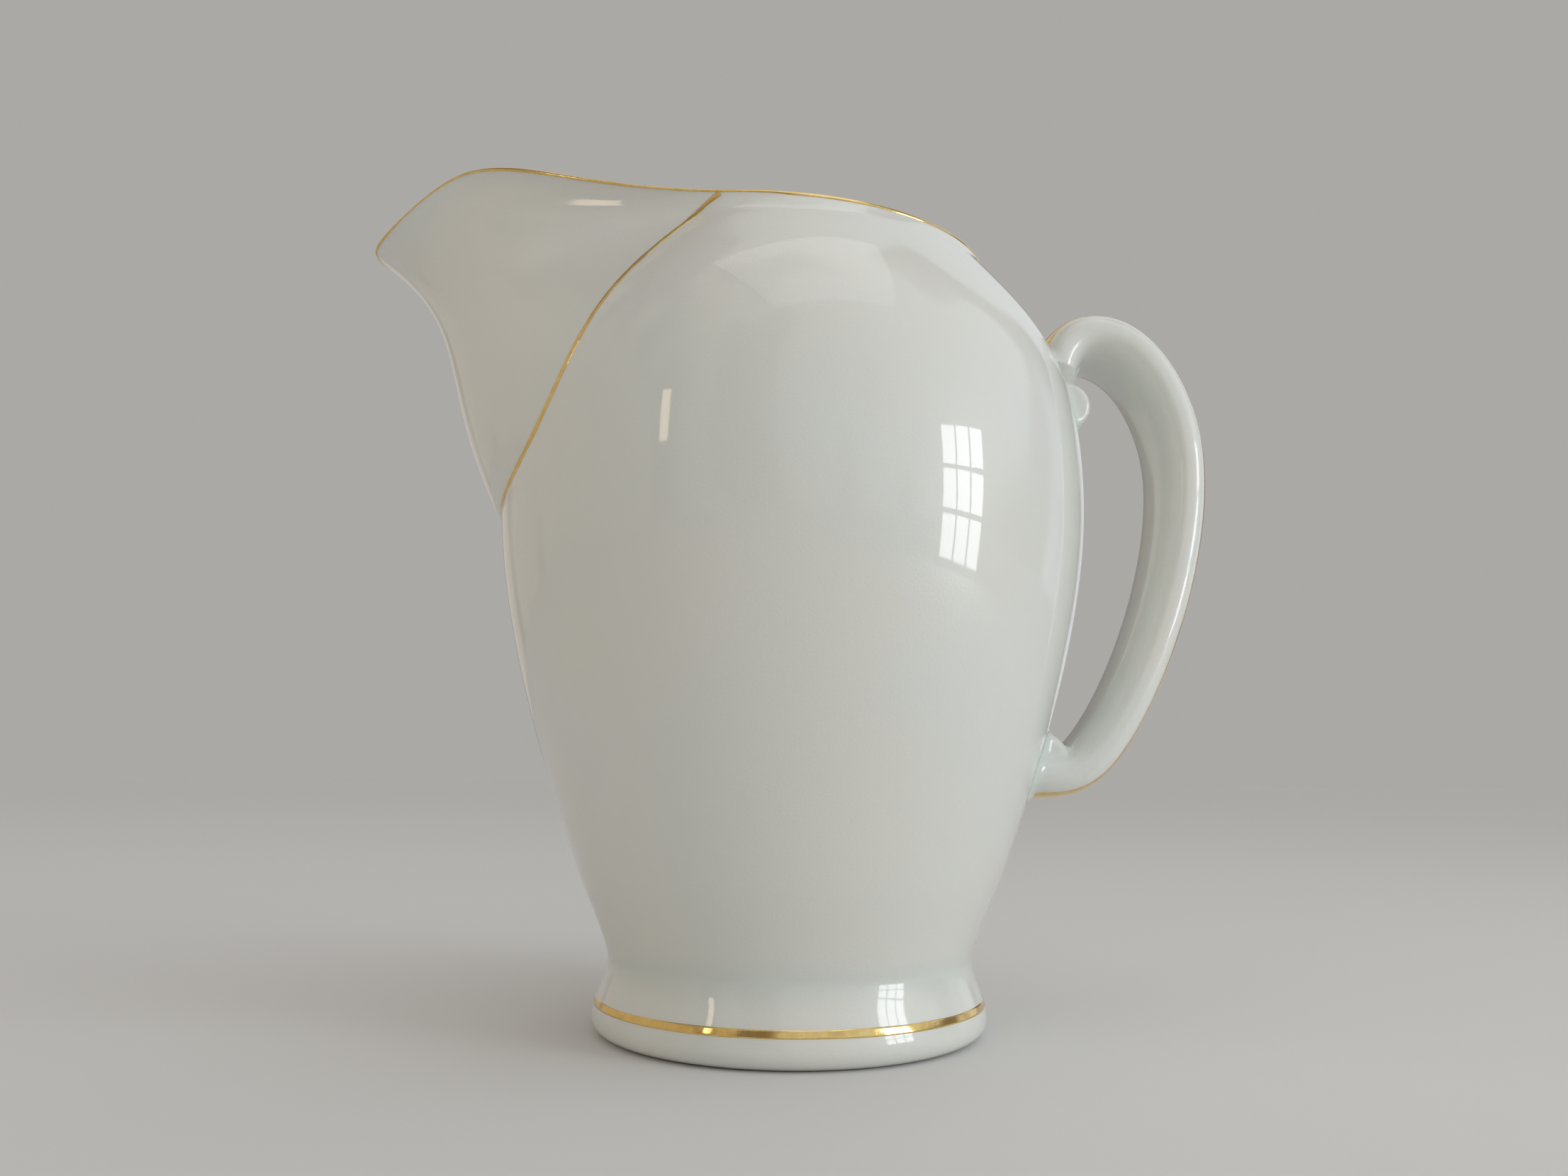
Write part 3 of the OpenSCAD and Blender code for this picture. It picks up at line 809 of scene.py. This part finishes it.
def softbox(name, azimuth, elevation, distance, size, radiance, colour, shift=(0, 0)):
    """A panel of light seen from the jug at an azimuth from the camera's side and an elevation."""
    a, e = radians(azimuth), radians(elevation)
    way = Vector((sin(a) * cos(e), -cos(a) * cos(e), sin(e)))
    turn = (-way).to_track_quat("-Z", "Y").to_matrix()
    place = Vector(LIT_POINT) + way * distance + turn @ Vector((shift[0], shift[1], 0))
    light = bpy.data.lights.new(name, "AREA")
    light.shape = "RECTANGLE"
    light.size, light.size_y = size
    light.energy = radiance * pi * size[0] * size[1]
    light.color = colour
    lamp = bpy.data.objects.new(name, light)
    lamp.matrix_world = Matrix.Translation(place) @ turn.to_4x4()
    bpy.context.collection.objects.link(lamp)


def world():
    """Plain surroundings: cool from the handle side, warm from the spout side, pale to the camera."""
    w = bpy.data.worlds.new("studio")
    bpy.context.scene.world = w
    w.use_nodes = True
    n = Nodes(w.node_tree)
    way = n.add("SeparateXYZ", Vector=n.add("TexCoord").outputs["Generated"])
    around = n.mix(n.ramp(way.outputs["X"], -0.9, 0.9), rgb(0.53, 0.48, 0.41), rgb(0.74, 0.775, 0.80))
    low = n.math("MULTIPLY", way.outputs["Z"], 0.35)
    upright = n.add("CombineXYZ", X=way.outputs["X"], Y=way.outputs["Y"], Z=low)
    furniture = n.ramp(n.noise(upright.outputs[0], 0.45, 1.0), 0.40, 0.50)
    around = n.mix(furniture, rgb(0.24, 0.215, 0.20), around)
    path = n.add("LightPath")
    seen = n.add("Background", Color=rgb(0.405, 0.397, 0.382), Strength=1.0)
    lit = n.add("Background", Strength=1.0)
    n.put(lit.inputs["Color"], around)
    share = n.add("MixShader")
    n.put(share.inputs[0], path.outputs["Is Camera Ray"])
    n.put(share.inputs[1], lit.outputs[0])
    n.put(share.inputs[2], seen.outputs[0])
    out = n.add("OutputWorld")
    n.put(out.inputs["Surface"], share.outputs[0])


stage_floor()
world()
COOL, WARM = (0.93, 0.97, 1.0), (1.0, 0.80, 0.55)
for column in (-1, 0, 1):
    for row in (-1, 0, 1):
        softbox(f"window_{column}_{row}", 62, 7, 0.5, (0.045, 0.066), 7.0, COOL,
                shift=(column * 0.051, row * 0.075))
softbox("warm_lamp", -47, 20, 0.9, (0.05, 0.16), 5.0, WARM)
softbox("overhead", 20, 75, 1.0, (0.7, 0.7), 0.55, (1, 1, 1))


def place_camera():
    """The camera stands in front of the jug and looks a little up."""
    pitch, yaw, roll = radians(9.47), radians(0.397), radians(0.482)
    forward = Vector((-sin(yaw) * cos(pitch), cos(yaw) * cos(pitch), sin(pitch)))
    right = Vector((cos(yaw), sin(yaw), 0))
    up = right.cross(forward)
    x = cos(roll) * right + sin(roll) * up
    y = -sin(roll) * right + cos(roll) * up
    data = bpy.data.cameras.new("camera")
    data.sensor_width = 36
    data.sensor_fit = "HORIZONTAL"
    data.lens = 26.59
    data.clip_start = 0.01
    camera = bpy.data.objects.new("camera", data)
    camera.matrix_world = Matrix(((x[0], y[0], -forward[0], 0), (x[1], y[1], -forward[1], -0.1702),
                                  (x[2], y[2], -forward[2], 0.034), (0, 0, 0, 1)))
    bpy.context.collection.objects.link(camera)
    scene = bpy.context.scene
    scene.camera = camera
    scene.view_settings.view_transform = "Standard"


place_camera()
